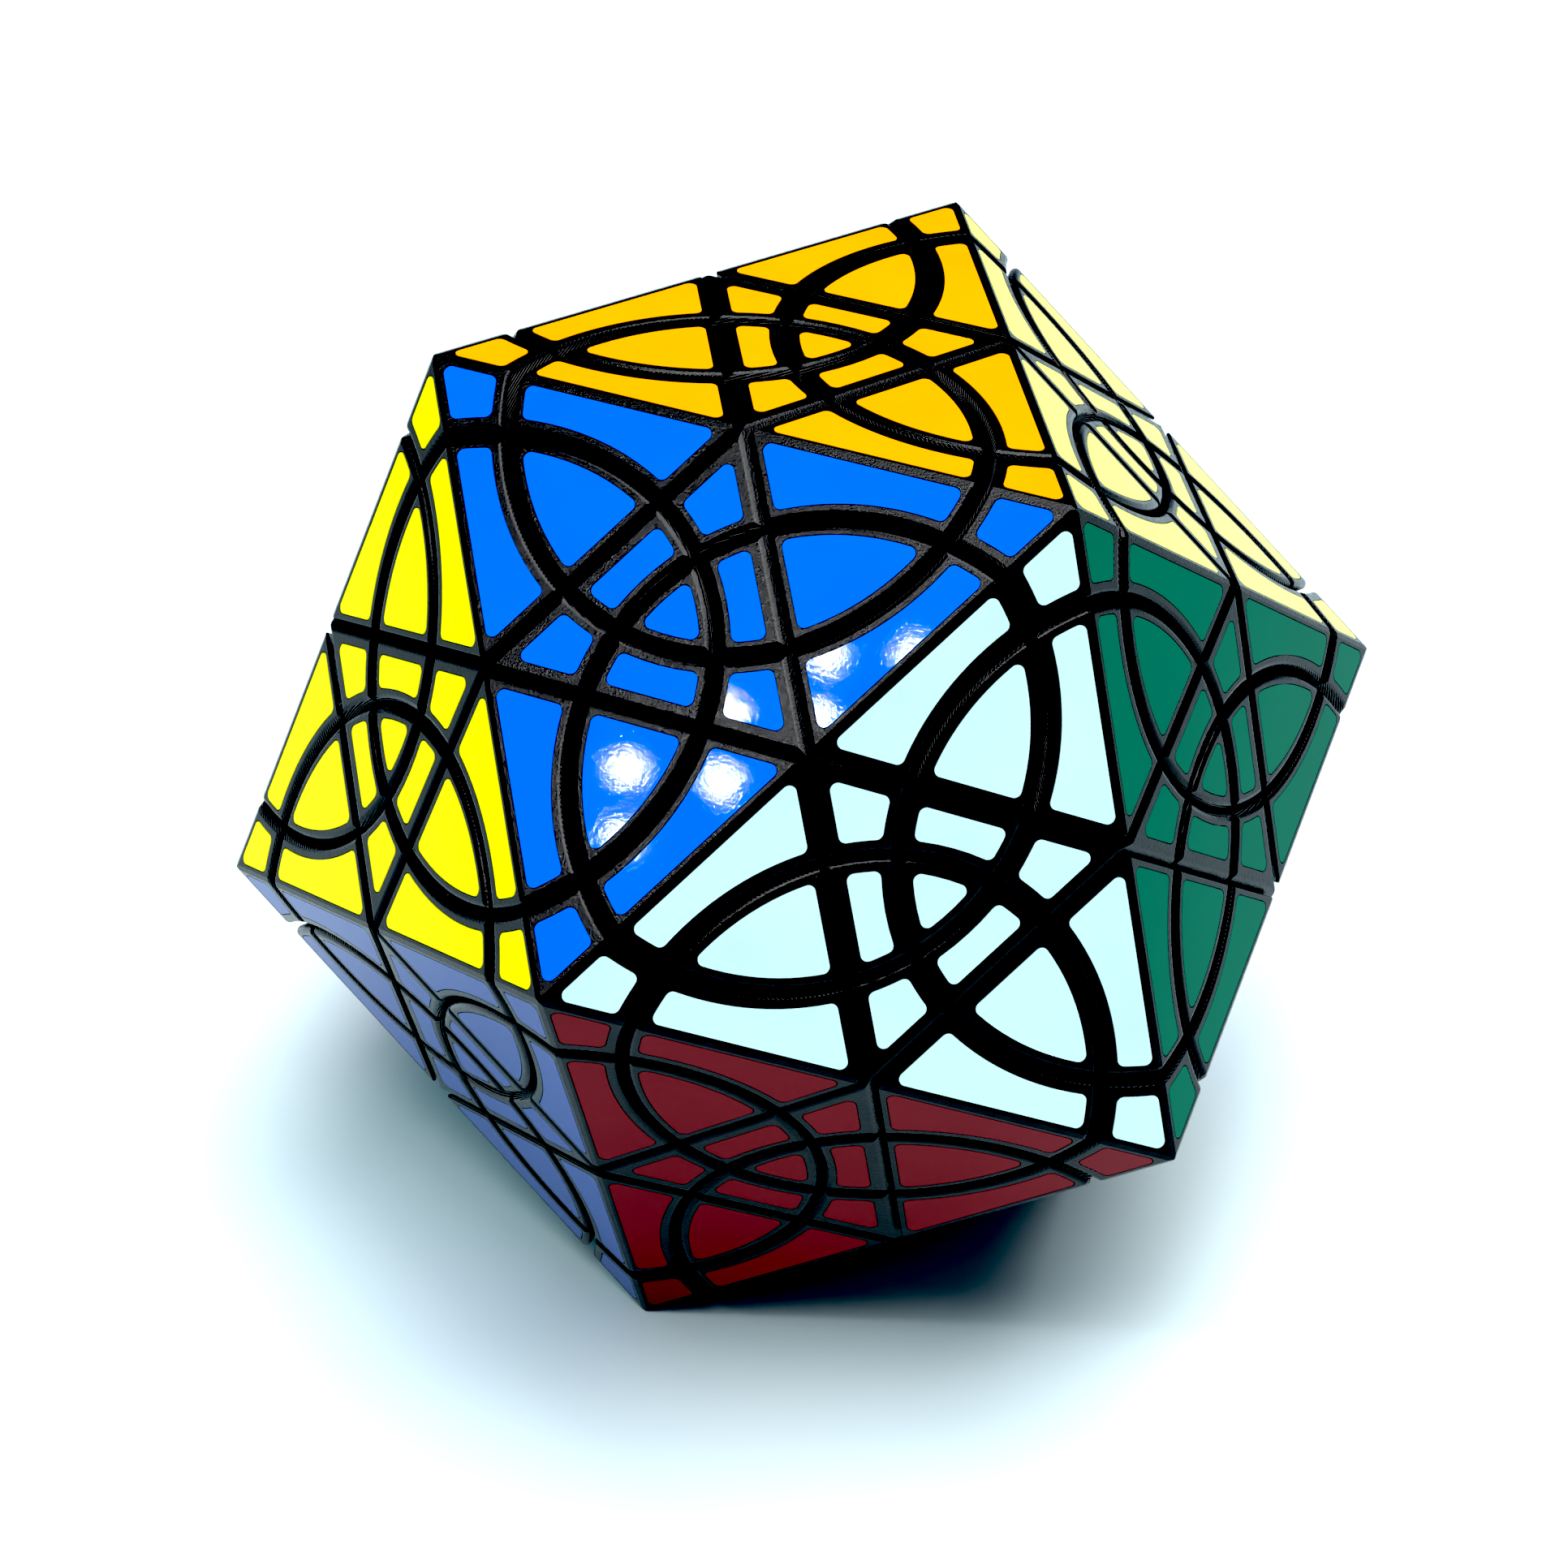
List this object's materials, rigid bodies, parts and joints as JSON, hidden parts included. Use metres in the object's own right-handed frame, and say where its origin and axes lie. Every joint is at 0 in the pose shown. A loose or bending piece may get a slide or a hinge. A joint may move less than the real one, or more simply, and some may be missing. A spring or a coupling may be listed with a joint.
{
  "type": "icosahedral twisty puzzle",
  "caption": "Black icosahedron puzzle with coloured stickers; twelve five-sided tips turn about their corner axes, curved pieces fill the edges and face middles.",
  "frame": {"origin": "centre of the icosahedron", "axes": "+Z out of the top face, opposite the face it rests on; +X along the top face's edge nearest -Y"},
  "size_m": [0.0888, 0.1026, 0.0832],
  "materials": {
    "black_plastic": "satin",
    "core_plastic": "matte",
    "stickers": "glossy",
    "screw_steel": "satin",
    "spring_steel": "satin"
  },
  "bodies": {
    "frame": {"core": "core_plastic", "corner_screws": "screw_steel", "corner_springs": "spring_steel", "corner_washers": "screw_steel", "edge_screws": "screw_steel", "edge_springs": "spring_steel", "edge_washers": "screw_steel", "edge_centres": "black_plastic", "edge_caps": "black_plastic", "rectangles": "black_plastic", "face_centres": "black_plastic", "fixed_stickers": "stickers"},
    "tip_top_1": {"corner_top_1": "black_plastic", "strips_top_1": "black_plastic", "petals_top_1": "black_plastic", "stickers_top_1": "stickers"},
    "tip_top_2": {"corner_top_2": "black_plastic", "strips_top_2": "black_plastic", "petals_top_2": "black_plastic", "stickers_top_2": "stickers"},
    "tip_top_3": {"corner_top_3": "black_plastic", "strips_top_3": "black_plastic", "petals_top_3": "black_plastic", "stickers_top_3": "stickers"},
    "tip_upper_1": {"corner_upper_1": "black_plastic", "strips_upper_1": "black_plastic", "petals_upper_1": "black_plastic", "stickers_upper_1": "stickers"},
    "tip_upper_2": {"corner_upper_2": "black_plastic", "strips_upper_2": "black_plastic", "petals_upper_2": "black_plastic", "stickers_upper_2": "stickers"},
    "tip_upper_3": {"corner_upper_3": "black_plastic", "strips_upper_3": "black_plastic", "petals_upper_3": "black_plastic", "stickers_upper_3": "stickers"},
    "tip_lower_1": {"corner_lower_1": "black_plastic", "strips_lower_1": "black_plastic", "petals_lower_1": "black_plastic", "stickers_lower_1": "stickers"},
    "tip_lower_2": {"corner_lower_2": "black_plastic", "strips_lower_2": "black_plastic", "petals_lower_2": "black_plastic", "stickers_lower_2": "stickers"},
    "tip_lower_3": {"corner_lower_3": "black_plastic", "strips_lower_3": "black_plastic", "petals_lower_3": "black_plastic", "stickers_lower_3": "stickers"},
    "tip_bottom_1": {"corner_bottom_1": "black_plastic", "strips_bottom_1": "black_plastic", "petals_bottom_1": "black_plastic", "stickers_bottom_1": "stickers"},
    "tip_bottom_2": {"corner_bottom_2": "black_plastic", "strips_bottom_2": "black_plastic", "petals_bottom_2": "black_plastic", "stickers_bottom_2": "stickers"},
    "tip_bottom_3": {"corner_bottom_3": "black_plastic", "strips_bottom_3": "black_plastic", "petals_bottom_3": "black_plastic", "stickers_bottom_3": "stickers"}
  },
  "joints": [
    {"name": "turn_top_1", "type": "hinge", "parent": "frame", "child": "tip_top_1", "pos_m": [0, 0, 0], "axis": [0, 0.6071, 0.7947], "continuous": true},
    {"name": "turn_top_2", "type": "hinge", "parent": "frame", "child": "tip_top_2", "pos_m": [0, 0, 0], "axis": [-0.5257, -0.3035, 0.7947], "continuous": true},
    {"name": "turn_top_3", "type": "hinge", "parent": "frame", "child": "tip_top_3", "pos_m": [0, 0, 0], "axis": [0.5257, -0.3035, 0.7947], "continuous": true},
    {"name": "turn_upper_1", "type": "hinge", "parent": "frame", "child": "tip_upper_1", "pos_m": [0, 0, 0], "axis": [0.8507, 0.4911, 0.1876], "continuous": true},
    {"name": "turn_upper_2", "type": "hinge", "parent": "frame", "child": "tip_upper_2", "pos_m": [0, 0, 0], "axis": [-0.8507, 0.4911, 0.1876], "continuous": true},
    {"name": "turn_upper_3", "type": "hinge", "parent": "frame", "child": "tip_upper_3", "pos_m": [0, 0, 0], "axis": [0, -0.9822, 0.1876], "continuous": true},
    {"name": "turn_lower_1", "type": "hinge", "parent": "frame", "child": "tip_lower_1", "pos_m": [0, 0, 0], "axis": [0, 0.9822, -0.1876], "continuous": true},
    {"name": "turn_lower_2", "type": "hinge", "parent": "frame", "child": "tip_lower_2", "pos_m": [0, 0, 0], "axis": [-0.8507, -0.4911, -0.1876], "continuous": true},
    {"name": "turn_lower_3", "type": "hinge", "parent": "frame", "child": "tip_lower_3", "pos_m": [0, 0, 0], "axis": [0.8507, -0.4911, -0.1876], "continuous": true},
    {"name": "turn_bottom_1", "type": "hinge", "parent": "frame", "child": "tip_bottom_1", "pos_m": [0, 0, 0], "axis": [0.5257, 0.3035, -0.7947], "continuous": true},
    {"name": "turn_bottom_2", "type": "hinge", "parent": "frame", "child": "tip_bottom_2", "pos_m": [0, 0, 0], "axis": [-0.5257, 0.3035, -0.7947], "continuous": true},
    {"name": "turn_bottom_3", "type": "hinge", "parent": "frame", "child": "tip_bottom_3", "pos_m": [0, 0, 0], "axis": [0, -0.6071, -0.7947], "continuous": true}
  ]
}
